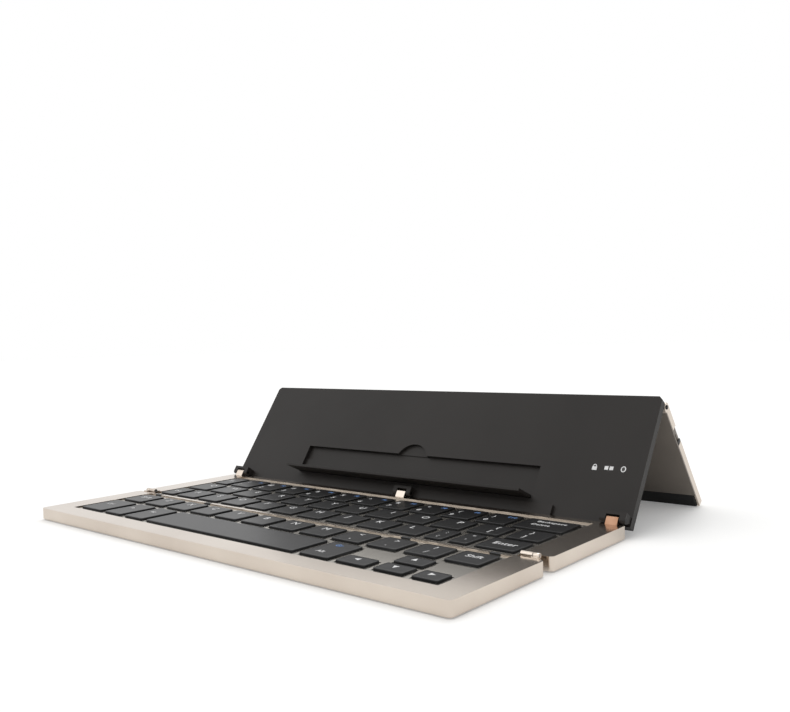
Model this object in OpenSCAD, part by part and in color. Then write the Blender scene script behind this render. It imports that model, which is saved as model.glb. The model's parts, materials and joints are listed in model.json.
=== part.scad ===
// Folding keyboard: two key decks joined by a middle fold, a stand hinged to the
// rear deck and a prop leg pinned to the top of the stand.
// X runs along the width, Y towards the back, Z up. The origin is the middle of
// the rear deck's underside, on the plane that the object stands on.

/* [Decks] */
// Width of the keyboard
deck_w = 246; // [244:0.5:256]
// Depth of the rear deck at its sides
rear_d = 59.3; // [58.8:0.1:66]
// Depth of the front deck
front_d = 54.1; // [53.8:0.1:62]
// Gap between the decks at their sides
fold_gap = 4.8; // [4.4:0.1:6]
// How far the rear deck's middle reaches into that gap
nose_d = 3.3; // [3.1:0.1:3.6]
// Thickness of a deck
case_t = 5.2; // [5:0.1:7]
// Height of the rubber feet
foot_h = 0.6; // [0.4:0.1:1.5]
// Width of a foot strip
foot_w = 5; // [3:0.1:7]
// Distance of a foot strip from the deck's edge
foot_inset = 8; // [7:0.1:12]
// Share of the deck's width that a foot strip takes
foot_share = 0.72; // [0.4:0.01:0.8]
// Width of the rim beside the keys
side_rim = 12.2; // [11.5:0.1:13]
// Depth of the palm edge in front of the keys
palm_rim = 10; // [8:0.1:11]
// Depth of the rim behind the number row
back_rim = 4.6; // [4:0.1:6]
// Thickness of the front deck's rear wall
fold_wall = 1.7; // [1.5:0.1:2.2]
// Thickness of the rear deck's nose wall
nose_wall = 0.6; // [0.4:0.1:0.8]
// Radius of the decks' outer corners
corner_r = 2; // [1:0.1:4]

/* [Layers] */
// Thickness of a base plate
base_t = 0.8; // [0.6:0.1:1]
// Thickness of the switch sheet
sheet_t = 0.5; // [0.3:0.1:0.6]
// Thickness of the plate that the keys stand in
plate_t = 0.8; // [0.5:0.1:0.9]
// Depth of that plate below the rim
plate_drop = 0.6; // [0.3:0.1:0.9]
// Gap beside that plate and in front of the front deck's plate
plate_gap = 0.5; // [0.1:0.05:0.6]
// How far a base plate reaches under the rim
base_lap = 2.6; // [2.5:0.1:4]
// Width of the ledge that carries a plate
ledge_w = 1; // [0.6:0.1:1.2]
// Places of a deck's screws along its base plate, as shares of its depth
screw_shares = [0.12, 0.5, 0.88]; // [0.1:0.01:0.9]

/* [Keys] */
// Room between the key field and the rim on each side
field_margin = 2.4; // [1.5:0.1:4]
// Gap between neighbouring keys
key_gap = 3.4; // [2.4:0.1:4]
// Height of the key tops above the rim
key_rise = 0.2; // [0:0.1:0.4]
// Share of the front deck's key depth that its front row takes
row_a_share = 0.579; // [0.5:0.001:0.62]
// Share of the rear deck's key depth that the number row takes
row_e_share = 0.368; // [0.3:0.001:0.4]
// Room in front of the front row
row_a_margin = 2.7; // [2:0.1:3]
// Room behind the front deck's second row
row_b_margin = 3; // [1:0.1:4]
// Room behind the number row
row_e_margin = 4.9; // [1:0.1:6]
// Gap between the rows of the front deck
front_row_gap = 3.2; // [2.6:0.1:3.6]
// Gap between the rows of the rear deck
rear_row_gap = 2.7; // [2.4:0.1:3.2]
// Gap between the up key and the down key
arrow_gap = 2; // [1.6:0.1:2.4]
// Width of a key's flange under the plate
flange = 0.4; // [0.3:0.1:0.6]
// Thickness of that flange
flange_t = 0.8; // [0.5:0.1:0.9]
// Step around the top of a key
key_step = 0.3; // [0.2:0.1:0.5]
// Room between a key and its window
key_play = 0.25; // [0.15:0.05:0.3]
// Radius of a rubber dome
dome_r = 2.6; // [2:0.1:3]
// Share of that radius that a dome keeps at its top
dome_top_share = 0.55; // [0.4:0.01:0.8]
// Share of a dome's height that its wide part takes
dome_base_share = 0.4; // [0.3:0.01:0.6]
// Pitch of a number key, in columns of the letter rows
number_units = 0.981; // [0.95:0.001:1]
// Pitch of the small first key in the number row and the home row, in columns
edge_units = 0.741; // [0.7:0.001:0.8]
// Pitch of a sign key beside the enter key, in columns
sign_units = 0.654; // [0.6:0.001:0.7]
// Pitches of the keys left of the space bar, in columns
left_units = [1.123, 0.91, 0.943]; // [0.8:0.001:1.2]
// Pitches of the keys right of the space bar, in columns
right_units = [1.003, 0.959, 0.91, 0.796]; // [0.7:0.001:1.1]

/* [Fold] */
// Height of the fold axis above the rim
fold_rise = 0.4; // [0.35:0.05:1.2]
// Radius of the fold knuckles
fold_knuckle_r = 1; // [0.95:0.05:1.4]
// Radius of the fold pins
fold_pin_r = 0.5; // [0.4:0.05:0.6]
// Distance of the knuckles from the deck's side
fold_inset = 3.4; // [2.5:0.1:5]
// Length of a rear knuckle
rear_knuckle_l = 4.8; // [3:0.1:5]
// Length of a front knuckle
front_knuckle_l = 2.4; // [2:0.1:3]
// Gap between the knuckles of a fold
knuckle_gap = 0.2; // [0.1:0.05:0.3]
// Thickness of the rim over a fold leaf
leaf_cover = 0.6; // [0.5:0.1:0.8]
// Thickness of a fold leaf
leaf_t = 1.4; // [1:0.1:1.5]
// Length of a fold leaf inside its case
leaf_l = 6; // [4:0.1:7]
// Width of the flat cable across the fold
ribbon_w = 30; // [10:1:60]
// Thickness of the flat cable
ribbon_t = 0.2; // [0.1:0.05:0.3]
// Length of the flat cable that lies on each switch sheet
ribbon_lap = 3; // [2:0.1:6]
// Distance of the outer dark inserts in the fold wall from the deck's side
outer_insert_inset = 19.3; // [19:0.1:23]
// Distance of the inner dark inserts from the deck's side
inner_insert_inset = 60.4; // [50:0.1:70]
// Width of an insert
insert_w = 4.8; // [3:0.1:6]
// Height of an insert
insert_h = 1.8; // [1:0.1:2]

/* [Stand] */
// Lean of the stand, measured up from the desk
stand_slope = 55.2; // [50:0.1:62]
// Height of the stand above its hinge
stand_h = 60.4; // [57:0.1:66]
// How far the stand reaches past the deck at each side
stand_overhang = 0.5; // [0:0.1:1]
// Length of the stand below its hinge
stand_tail = 1.2; // [1.2:0.1:2.5]
// Thickness of the stand
stand_t = 3.6; // [3.5:0.1:4.5]
// Thickness of the stand's rear cover
back_t = 0.9; // [0.8:0.1:1]
// Height of the stand's hinge above the rim, over the rear deck's edge
hinge_rise = 1.7; // [1.65:0.05:1.9]
// Distance of the hinge in front of the stand's face
hinge_out = 3.55; // [3.5:0.05:4]
// Cut at the stand's upper corners
corner_cut = 1.5; // [1:0.1:6]
// Length of the pocket for the rest flap
pocket_l = 150; // [130:1:160]
// Start of that pocket above the hinge
pocket_v = 6.4; // [6:0.1:8]
// Height of that pocket
pocket_h = 16; // [15:0.1:18]
// Depth of that pocket
pocket_d = 1.6; // [1.5:0.05:1.7]
// Depth of the slot in the pocket's upper half
slot_d = 2.1; // [2:0.05:2.2]
// Height of that slot
slot_h = 7.6; // [5:0.1:8]
// Depth of a flap pin in the flap and in the stand
pin_grip = 3; // [2:0.1:4]
// Radius of the thumb notch over the pocket
notch_r = 10; // [6:0.1:12]
// Height of the thumb notch above the pocket
notch_rise = 5.9; // [3:0.1:8]
// Height of the rest flap
flap_h = 11.7; // [11:0.1:13.5]
// Thickness of the rest flap
flap_t = 1.3; // [1.2:0.05:1.4]
// Height of the flap's axis above the pocket's lower edge
flap_root = 1; // [0.9:0.05:1.2]
// Depth of the closed flap below the stand's face
flap_sink = 0.15; // [0.1:0.05:0.2]
// Angle at which the rest flap stands open
flap_open = 100; // [80:1:100]
// Radius of the flap's pins
flap_pin_r = 0.4; // [0.3:0.05:0.45]
// Half length of the raised bar over the hinge line
bar_x = 87.5; // [60:0.5:90]
// Height of that bar above the stand's face
bar_rise = 1.5; // [1:0.1:1.6]
// Top of that bar above the hinge
bar_top = 4; // [3.2:0.1:4.2]
// Bottom of that bar below the hinge
bar_drop = 1.1; // [0.5:0.1:1.1]

/* [Stand hinges] */
// Radius of a hinge barrel
barrel_r = 1.35; // [1.3:0.05:1.4]
// Length of an outer hinge barrel
barrel_l = 5.3; // [4:0.1:6]
// Distance of an outer barrel from the stand's side
barrel_inset = 3; // [2.6:0.1:4]
// Depth of a barrel's foot on the rim
barrel_foot = 2.65; // [2:0.05:3]
// Depth of that foot in the rim
foot_sink = 1.5; // [0.8:0.1:2]
// Radius of the hinge pins
hinge_pin_r = 0.75; // [0.6:0.05:0.8]
// Distance of a bracket's front from the hinge
bracket_front = 1.4; // [1.3:0.05:1.4]
// Height of a bracket above the hinge
bracket_top = 3; // [2.8:0.1:3.5]
// Start of a bracket's root above the hinge
bracket_root = 0.3; // [0.3:0.1:0.8]
// Depth of a bracket in the stand's face
bracket_sink = 0.8; // [0.5:0.1:1]
// Start of the centre lug beside the middle
centre_lug_x = 3.5; // [0:0.1:10]
// Width of the centre lug
centre_lug_w = 5.3; // [3:0.1:8]
// Width of an ear beside the centre lug
centre_ear_w = 2.5; // [1.5:0.1:3]

/* [Electronics] */
// Width of the control board
board_w = 38; // [38:0.5:40]
// Distance of the control board from the stand's side
board_inset = 4.2; // [3.8:0.1:5]
// Height of the control board
board_h = 28; // [20:0.5:29]
// Thickness of the control board
board_t = 0.8; // [0.6:0.1:0.9]
// Height of the board below the light windows
board_drop = 6; // [3:0.1:7]
// Thickness of the stand in front of the board
board_cover = 1.4; // [1.2:0.1:1.5]
// Width of the battery
battery_w = 120; // [60:1:160]
// Height of the battery
battery_h = 34; // [20:0.5:38]
// Distance of the battery from the top of the leg's cavity
battery_drop = 6; // [2:0.1:8]
// Distance of the last light window from the stand's side
lamp_inset = 8.7; // [8:0.1:14]
// Distance between the light windows
lamp_pitch = 6.6; // [5:0.1:7]
// Height of the light windows above the hinge
lamp_v = 24.2; // [19:0.1:31]
// Radius of a light window
lamp_r = 1.4; // [1:0.1:1.6]

/* [Leg] */
// Thickness of the prop leg
leg_t = 4.2; // [4:0.1:4.6]
// Distance of the leg's pin below the stand's top edge
pin_drop = 2; // [1:0.05:2.2]
// Distance of the leg's pin behind the stand
pin_back = 2.35; // [2.35:0.05:3]
// Angle between the stand and the open leg
leg_open = 73.2; // [70:0.1:76]
// Radius of the leg's pins
leg_pin_r = 1; // [0.8:0.05:1.1]
// Length of a leg pin inside the leg, past the lug
leg_pin_grip = 5; // [3:0.5:8]
// How far a leg pin's head stands out
leg_pin_out = 0.4; // [0:0.1:0.6]
// Distance of a lug on the stand's back from the stand's side
lug_inset = 19; // [12:0.5:30]
// Width of that lug
lug_w = 8; // [4:0.5:12]
// Radius of that lug
lug_r = 1.8; // [1.6:0.05:1.9]
// Thickness of the leg's outer wall
leg_wall = 0.8; // [0.6:0.05:0.9]
// Thickness of the leg's inner cover
leg_cover_t = 0.9; // [0.6:0.05:1]
// How far the inner cover laps over the leg's top wall
cover_top_lap = 2.5; // [1:0.1:3.5]
// Wall between the leg's cavity and its foot band
leg_web = 1; // [0.8:0.1:2]
// Width of the leg's side walls
leg_side = 3.5; // [3:0.1:5]
// Height of the rubber foot band
band_h = 8; // [5:0.1:10]
// Distance of the foot band from the leg's side
band_inset = 1.2; // [0.8:0.1:2]
// Depth of the flat worn on the foot band's corner
foot_flat = 0.3; // [0.2:0.05:0.4]
// Start of the switch notch below the leg's pin
switch_start = 13; // [10:0.1:14]
// Length of the notch that the switch sits in
switch_slot = 9.6; // [8:0.1:10]
// Length of the switch button
switch_l = 1.8; // [1.4:0.1:3]
// Height of the slot for the button's stem
switch_h = 1; // [0.9:0.1:1.4]
// Travel of the switch button
switch_travel = 4; // [2:0.5:5]
// Depth of that notch in the leg's side
switch_notch = 1; // [0.8:0.1:1.2]
// Depth of the notch's floor, a tab of the inner cover
switch_sink = 0.6; // [0.5:0.05:0.65]
// How much shorter the stem is than the button at each end
switch_rim = 0.4; // [0.3:0.1:0.6]
// Width of the switch body inside the leg
switch_body_w = 3; // [2:0.1:5]
// Room above and below the switch button
switch_play = 0.2; // [0.1:0.05:0.3]
// How far the switch button stands out
switch_out = 0.1; // [0:0.1:1]

/* [Screws] */
// Radius of a screw's shank
screw_r = 0.6; // [0.5:0.05:0.7]
// Radius of a screw's head
screw_head_r = 1.1; // [1:0.05:1.2]
// Thickness of a screw's head
screw_head_t = 0.4; // [0.3:0.05:0.45]
// Room past the tip of a screw
tip_gap = 0.5; // [0.3:0.1:0.6]
// Wall around a screw in the leg
boss_wall = 1; // [0.8:0.1:1.5]
// Length of a stand screw
stand_screw_l = 2.5; // [2:0.1:2.8]
// Distance of the stand's upper screws from its side
stand_screw_insets = [13, 35]; // [12:0.5:40]
// Distance of those screws below the stand's top
stand_screw_drop = 9.2; // [8:0.1:10]
// Distance of the stand's lower screws from its side
low_screw_inset = 2.1; // [2:0.1:2.2]
// Height of the stand's lower screws above the hinge
low_screw_v = 13.4; // [12:0.1:17]
// Distances of the leg's screws from the cavity's side and from the battery's side
leg_screw_insets = [19.5, 10.5]; // [5:0.5:22]
// Distance of the leg's upper screws from the top of its cavity
leg_screw_drop = 6; // [5:0.1:12]
// Distance of the leg's lower screws from the end of its cavity
leg_screw_rise = 7; // [5:0.1:12]

/* [Fits] */
// Room between a pin and its running bore
run_fit = 0.04; // [0.02:0.01:0.08]
// Room between moving faces
move_gap = 0.3; // [0.2:0.05:0.35]
// Room around pieces that are set in
seat_gap = 0.1; // [0.05:0.01:0.15]

/* [Hidden] */
$fn = 48;
eps = 0.01;

// heights
case_z = foot_h;
rim_z = case_z + case_t;
plate_top = rim_z - plate_drop;
plate_z = plate_top - plate_t;
base_top = case_z + base_t;
sheet_top = base_top + sheet_t;
key_top = rim_z + key_rise;
flange_z = plate_z - flange_t;

// depths
rear_front = -rear_d / 2;
rear_back = rear_d / 2;
fold_y = rear_front - fold_gap / 2;
fold_z = rim_z + fold_rise;
front_back = fold_y - fold_gap / 2;
front_front = front_back - front_d;
nose_y = rear_front - nose_d;
well_x = deck_w / 2 - side_rim;
nose_x = well_x + ledge_w;

// wells: the openings that the keys stand in, as [front, back]
front_well = [front_front + palm_rim, front_back - fold_wall];
rear_well = [nose_y + nose_wall, rear_back - back_rim];

// seats of the base plates, as [front, back]
front_seat = front_well;
rear_seat = [rear_front + corner_r, rear_well[1]];
seat_x = well_x + base_lap;
screw_x = well_x + base_lap / 2;

// rows: depth and front edge, from the front deck's first row (a) to the number row (e)
field_w = 2 * (well_x - field_margin);
field_x = -field_w / 2;
front_keys_d = front_well[1] - front_well[0] - row_a_margin - front_row_gap - row_b_margin;
row_a_d = front_keys_d * row_a_share;
row_b_d = front_keys_d - row_a_d;
row_a = front_well[0] + row_a_margin;
row_b = row_a + row_a_d + front_row_gap;
row_c_margin = flange + 2 * key_play;
rear_keys_d = rear_well[1] - rear_well[0] - row_c_margin - 2 * rear_row_gap - row_e_margin;
row_e_d = rear_keys_d * row_e_share;
row_c_d = (rear_keys_d - row_e_d) / 2;
row_c = rear_well[0] + row_c_margin;
row_d = row_c + row_c_d + rear_row_gap;
row_e = row_d + row_c_d + rear_row_gap;
half_key_d = (row_a_d - arrow_gap) / 2;

// key widths of each row, from left to right
column_pitch = (field_w + key_gap) / 12;
row_b_w = [for (i = [0:11]) width_of(1)];
row_d_w = row_b_w;
number_row_w = concat([width_of(edge_units)], [for (i = [0:9]) width_of(number_units)]);
row_e_w = concat(number_row_w, [rest_of(number_row_w)]);
home_row_w = concat([width_of(edge_units)], [for (i = [0:8]) width_of(number_units)],
    [width_of(sign_units), width_of(sign_units)]);
row_c_w = concat(home_row_w, [rest_of(home_row_w)]);
left_keys_w = [for (u = left_units) width_of(u)];
right_keys_w = [for (u = right_units) width_of(u)];
row_a_w = concat(left_keys_w, [rest_of(concat(left_keys_w, right_keys_w))], right_keys_w);

function width_of(units) = units * column_pitch - key_gap;
function total(list, n) = n < 1 ? 0 : list[n - 1] + total(list, n - 1);
function rest_of(list) = field_w - total(list, len(list)) - len(list) * key_gap;
function key_x(list, i) = field_x + total(list, i) + i * key_gap;

// middle fold
fold_front_x = deck_w / 2 - fold_inset - front_knuckle_l;
fold_rear_x = fold_front_x - knuckle_gap - rear_knuckle_l;
leaf_top = fold_rise + leaf_cover;
leaf_low = leaf_top + leaf_t;

// stand
stand_x = deck_w / 2 + stand_overhang;
hinge_y = rear_back;
hinge_z = rim_z + hinge_rise;
face_w = -hinge_out;
back_w = face_w - stand_t;
inner_w = back_w + back_t;
flap_axis_v = pocket_v + flap_root;
flap_axis_w = face_w - flap_t / 2 - flap_sink;
flap_l = pocket_l - 2 * move_gap;
barrel_x = deck_w / 2 - barrel_inset - barrel_l;
outer_ear_w = barrel_inset - move_gap;
lamp_x = deck_w / 2 - lamp_inset - 2 * lamp_pitch;
board_x = deck_w / 2 - board_inset - board_w;
board_v = lamp_v - board_drop;
board_front = face_w - board_cover;

// leg
leg_v = stand_h - pin_drop;
lug_x = deck_w / 2 - lug_inset - lug_w;
leg_w = back_w - pin_back;
leg_pitch = 180 - stand_slope - leg_open;
pin_z = hinge_z + leg_v * sin(stand_slope) + leg_w * cos(stand_slope);
leg_l = (pin_z - cos(leg_pitch) * leg_t / 2 + foot_flat) / sin(leg_pitch);
cavity_x = stand_x - leg_side;
cavity_top = -leg_t;
band_v = band_h - leg_l;
band_x = stand_x - band_inset;
cavity_end = band_v + leg_web;
battery_top = cavity_top - battery_drop;
switch_end = -switch_start - switch_slot;
button_y = switch_end + move_gap;
stem_y = button_y + switch_rim;
stem_l = switch_l - 2 * switch_rim;

black = [0.13, 0.13, 0.14];
key_grey = [0.23, 0.23, 0.24];
champagne = [0.8, 0.77, 0.73];
plate_grey = [0.56, 0.55, 0.52];
steel = [0.7, 0.7, 0.7];
copper = [0.78, 0.58, 0.45];
sheet_green = [0.25, 0.42, 0.33];
rubber_black = [0.06, 0.06, 0.06];
rubber_pale = [0.75, 0.75, 0.74];
amber = [0.75, 0.5, 0.2];
leg_brown = [0.3, 0.28, 0.27];

// ---------- shapes ----------
module block(from, to) {
    translate(from) cube(to - from);
}

module both_sides() {
    for (side = [-1, 1]) scale_side(side) children();
}

module scale_side(side) {
    if (side > 0) children();
    else mirror([1, 0, 0]) children();
}

// a rod along X between two places
module rod(x0, x1, r) {
    translate([x0, 0, 0]) rotate([0, 90, 0]) cylinder(h = x1 - x0, r = r);
}

module rounded_slab(x, y0, y1, z0, z1, r) {
    translate([0, 0, z0]) linear_extrude(z1 - z0) union() {
        translate([-x + r, y0]) square([2 * (x - r), y1 - y0]);
        translate([-x, y0 + r]) square([2 * x, y1 - y0 - 2 * r]);
        for (side = [-1, 1]) for (y = [y0 + r, y1 - r]) translate([side * (x - r), y]) circle(r);
    }
}

// ---------- decks ----------
// a deck's frame: an outer slab less its well, its ledge and the base plate's seat
module deck_frame(well, seat) {
    difference() {
        children();
        block([-well_x, well[0], plate_z], [well_x, well[1], rim_z + 1]);
        block([-well_x + ledge_w, well[0], base_top - eps], [well_x - ledge_w, well[1], rim_z]);
        block([-seat_x, seat[0], case_z - 1], [seat_x, seat[1], base_top]);
        for (at = screw_places(seat)) translate([at[0], at[1], 0]) cylinder(h = plate_z, r = screw_r);
    }
}

function screw_places(seat) = [for (side = [-1, 1]) for (share = screw_shares)
    [side * screw_x, seat[0] + share * (seat[1] - seat[0])]];

module base_plate(seat) {
    difference() {
        block([-seat_x + seat_gap, seat[0] + seat_gap, case_z],
            [seat_x - seat_gap, seat[1] - seat_gap, base_top]);
        for (at = screw_places(seat)) translate([at[0], at[1], case_z - eps]) {
            cylinder(h = screw_head_t + eps, r = screw_head_r);
            cylinder(h = base_t + 1, r = screw_r);
        }
    }
}

module case_screws(seat) {
    for (at = screw_places(seat)) translate([at[0], at[1], case_z]) {
        cylinder(h = screw_head_t, r = screw_head_r);
        cylinder(h = plate_z - case_z - tip_gap, r = screw_r);
    }
}

module switch_sheet(well) {
    block([-well_x + ledge_w + seat_gap, well[0] + seat_gap, base_top],
        [well_x - ledge_w - seat_gap, well[1] - seat_gap, sheet_top]);
}

module key_plate(well, front_gap) {
    difference() {
        block([-well_x + plate_gap, well[0] + front_gap, plate_z],
            [well_x - plate_gap, well[1] - seat_gap, plate_top]);
        children();
    }
}

module window(x, y, w, d) {
    block([x - key_play, y - key_play, plate_z - 1], [x + w + key_play, y + d + key_play, plate_top + 1]);
}

module row_windows(widths, y, d) {
    for (i = [0:len(widths) - 1]) window(key_x(widths, i), y, widths[i], d);
}

// one key: flange under the plate, body through its window and a stepped top
module key(x, y, w, d) {
    block([x - flange, y - flange, flange_z], [x + w + flange, y + d + flange, plate_z]);
    block([x, y, plate_z - eps], [x + w, y + d, key_top - key_step]);
    block([x + key_step, y + key_step, key_top - key_step - eps],
        [x + w - key_step, y + d - key_step, key_top]);
}

module keys(widths, y, d, from, to) {
    color(key_grey) for (i = [from:to]) key(key_x(widths, i), y, widths[i], d);
}

module row_domes(widths, y, d) {
    for (i = [0:len(widths) - 1]) if (widths[i] > 2 * dome_r)
        dome(key_x(widths, i) + widths[i] / 2, y + d / 2);
}

module dome(x, y) {
    translate([x, y, sheet_top]) {
        cylinder(h = (flange_z - sheet_top) * dome_base_share, r = dome_r);
        cylinder(h = flange_z - sheet_top, r = dome_r * dome_top_share);
    }
}

module foot_strip(y) {
    foot_x = deck_w * foot_share / 2;
    block([-foot_x, y - foot_w / 2, 0], [foot_x, y + foot_w / 2, foot_h]);
}

module rear_case() {
    color(champagne) difference() {
        deck_frame(rear_well, rear_seat) {
            rounded_slab(deck_w / 2, rear_front, rear_back, case_z, rim_z, corner_r);
            block([-nose_x, nose_y, case_z], [nose_x, rear_front + corner_r, plate_z]);
        }
        ribbon_slot();
        both_sides() rear_leaf_pocket();
        both_sides() barrel_foot_block(barrel_x, barrel_l, rim_z + 1);
        barrel_foot_block(centre_lug_x, centre_lug_w, rim_z + 1);
    }
}

module rear_base_plate() {
    color(black) base_plate(rear_seat);
}

module rear_key_plate() {
    color(plate_grey) key_plate(rear_well, seat_gap) {
        row_windows(row_c_w, row_c, row_c_d);
        row_windows(row_d_w, row_d, row_c_d);
        row_windows(row_e_w, row_e, row_e_d);
    }
}

module rear_switch_sheet() {
    color(sheet_green) switch_sheet(rear_well);
}

module rear_domes() {
    color(rubber_pale) {
        row_domes(row_c_w, row_c, row_c_d);
        row_domes(row_d_w, row_d, row_c_d);
        row_domes(row_e_w, row_e, row_e_d);
    }
}

module rear_feet() {
    color(rubber_black) for (y = [rear_front + foot_inset, 0, rear_back - foot_inset]) foot_strip(y);
}

module rear_case_screws() {
    color(steel) case_screws(rear_seat);
}

module front_case() {
    color(champagne) difference() {
        deck_frame(front_well, front_seat)
            rounded_slab(deck_w / 2, front_front, front_back, case_z, rim_z, corner_r);
        ribbon_slot();
        both_sides() front_leaf_pocket();
        inserts(seat = true);
    }
}

module front_base_plate() {
    color(black) base_plate(front_seat);
}

module front_key_plate() {
    color(plate_grey) key_plate(front_well, plate_gap) {
        for (i = [0:4]) window(key_x(row_a_w, i), row_a, row_a_w[i], row_a_d);
        window(key_x(row_a_w, 5), row_a, row_a_w[5], half_key_d);
        window(key_x(row_a_w, 6), row_a, row_a_w[6], half_key_d);
        window(key_x(row_a_w, 6), row_a + row_a_d - half_key_d, row_a_w[6], half_key_d);
        window(key_x(row_a_w, 7), row_a, row_a_w[7], half_key_d);
        row_windows(row_b_w, row_b, row_b_d);
    }
}

module front_switch_sheet() {
    color(sheet_green) switch_sheet(front_well);
}

module front_domes() {
    color(rubber_pale) {
        for (i = [0:4]) dome(key_x(row_a_w, i) + row_a_w[i] / 2, row_a + row_a_d / 2);
        for (i = [5:7]) dome(key_x(row_a_w, i) + row_a_w[i] / 2, row_a + half_key_d / 2);
        dome(key_x(row_a_w, 6) + row_a_w[6] / 2, row_a + row_a_d - half_key_d / 2);
        row_domes(row_b_w, row_b, row_b_d);
    }
}

module front_feet() {
    color(rubber_black) for (y = [front_front + foot_inset, front_back - foot_inset]) foot_strip(y);
}

module front_case_screws() {
    color(steel) case_screws(front_seat);
}

// ---------- keys ----------
module escape_key() { keys(row_e_w, row_e, row_e_d, 0, 0); }
module number_keys() { keys(row_e_w, row_e, row_e_d, 1, 10); }
module backspace_key() { keys(row_e_w, row_e, row_e_d, 11, 11); }
module upper_letter_keys() { keys(row_d_w, row_d, row_c_d, 0, 11); }
module caps_key() { keys(row_c_w, row_c, row_c_d, 0, 0); }
module home_letter_keys() { keys(row_c_w, row_c, row_c_d, 1, 11); }
module enter_key() { keys(row_c_w, row_c, row_c_d, 12, 12); }
module left_shift_key() { keys(row_b_w, row_b, row_b_d, 0, 0); }
module lower_letter_keys() { keys(row_b_w, row_b, row_b_d, 1, 10); }
module right_shift_key() { keys(row_b_w, row_b, row_b_d, 11, 11); }
module left_modifier_keys() { keys(row_a_w, row_a, row_a_d, 0, 2); }
module space_bar() { keys(row_a_w, row_a, row_a_d, 3, 3); }
module right_modifier_key() { keys(row_a_w, row_a, row_a_d, 4, 4); }
module left_arrow_key() { keys(row_a_w, row_a, half_key_d, 5, 5); }
module up_arrow_key() { keys(row_a_w, row_a + row_a_d - half_key_d, half_key_d, 6, 6); }
module down_arrow_key() { keys(row_a_w, row_a, half_key_d, 6, 6); }
module right_arrow_key() { keys(row_a_w, row_a, half_key_d, 7, 7); }

// ---------- middle fold ----------
module ribbon_slot() {
    block([-ribbon_w / 2 - seat_gap, front_well[1] - 1, sheet_top - seat_gap],
        [ribbon_w / 2 + seat_gap, rear_well[0] + 1, sheet_top + ribbon_t + seat_gap]);
}

module fold_ribbon() {
    color(amber) block([-ribbon_w / 2, front_well[1] - ribbon_lap, sheet_top],
        [ribbon_w / 2, rear_well[0] + ribbon_lap, sheet_top + ribbon_t]);
}

module inserts(seat = false) {
    for (side = [-1, 1]) for (inset = [inner_insert_inset, outer_insert_inset]) let (x = deck_w / 2 - inset)
        block([side * x - insert_w / 2, front_well[1] - (seat ? 1 : 0), rim_z - insert_h],
            [side * x + insert_w / 2, front_back + (seat ? 1 : 0), rim_z + (seat ? 1 : 0)]);
}

module fold_wall_inserts() {
    color(black) inserts();
}

module rear_leaf_pocket() {
    block([fold_rear_x, rear_front - 1, fold_z - leaf_low],
        [fold_rear_x + rear_knuckle_l, rear_front + leaf_l, fold_z - leaf_top]);
}

module front_leaf_pocket() {
    block([fold_front_x, front_back - leaf_l, fold_z - leaf_low],
        [fold_front_x + front_knuckle_l, front_back + 1, fold_z - leaf_top]);
}

// knuckle, arm down to the case edge and tab inside the case; side is -1 for the front deck
module fold_leaf(x, l, side) {
    reach = side * fold_gap / 2;
    difference() {
        union() {
            translate([0, fold_y, fold_z]) rod(x, x + l, fold_knuckle_r);
            block([x, fold_y + min(0, reach), fold_z - leaf_low], [x + l, fold_y + max(0, reach), fold_z]);
            block([x, fold_y + min(reach, reach + side * leaf_l), fold_z - leaf_low],
                [x + l, fold_y + max(reach, reach + side * leaf_l), fold_z - leaf_top]);
        }
        translate([0, fold_y, fold_z]) rod(x - 1, x + l + 1, fold_pin_r + (side < 0 ? run_fit : 0));
    }
}

module rear_fold_leaves() {
    color(steel) both_sides() fold_leaf(fold_rear_x, rear_knuckle_l, 1);
}

module front_fold_leaves() {
    color(steel) both_sides() fold_leaf(fold_front_x, front_knuckle_l, -1);
}

module fold_pins() {
    color(steel) both_sides() translate([0, fold_y, fold_z])
        rod(fold_rear_x, fold_front_x + front_knuckle_l, fold_pin_r);
}

// ---------- stand hinges ----------
// foot of a barrel, from inside the rim up to the height named top
module barrel_foot_block(x, l, top) {
    block([x, rear_back - barrel_foot, rim_z - foot_sink], [x + l, rear_back + eps, top]);
}

// barrel on the rear deck's edge, drawn down to its foot
module deck_barrel(x, l) {
    difference() {
        union() {
            hull() {
                translate([0, hinge_y, hinge_z]) rod(x, x + l, barrel_r);
                block([x, rear_back - barrel_foot, rim_z - eps], [x + l, rear_back, rim_z]);
            }
            barrel_foot_block(x, l, rim_z);
        }
        translate([0, hinge_y, hinge_z]) rod(x - 1, x + l + 1, hinge_pin_r + run_fit);
    }
}

module left_hinge_barrel() {
    color(champagne) mirror([1, 0, 0]) deck_barrel(barrel_x, barrel_l);
}

module right_hinge_barrel() {
    color(copper) deck_barrel(barrel_x, barrel_l);
}

module centre_hinge_lug() {
    color(champagne) deck_barrel(centre_lug_x, centre_lug_w);
}

module on_stand() {
    translate([0, hinge_y, hinge_z]) rotate([stand_slope, 0, 0]) children();
}

module ear(x, w) {
    hull() {
        rod(x, x + w, bracket_front);
        block([x, bracket_root, face_w], [x + w, bracket_top, bracket_front]);
    }
}

// two ears and a web around a barrel that starts at x, down to the stand's face
module bracket(x, l, w) {
    difference() {
        union() {
            ear(x - move_gap - w, w);
            ear(x + l + move_gap, w);
            block([x - move_gap - w, barrel_r + move_gap, face_w],
                [x + l + move_gap + w, bracket_top, bracket_front]);
        }
        hinge_pin(x, l, w);
    }
}

// an outer bracket stands in a seat in the stand's face
module outer_bracket() {
    bracket(barrel_x, barrel_l, outer_ear_w);
    block([barrel_x - barrel_inset, bracket_root, face_w - bracket_sink],
        [deck_w / 2, bracket_top, face_w + eps]);
}

module bracket_seats() {
    both_sides() block([barrel_x - barrel_inset, bracket_root, face_w - bracket_sink],
        [deck_w / 2, bracket_top, face_w + 1]);
}

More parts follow.
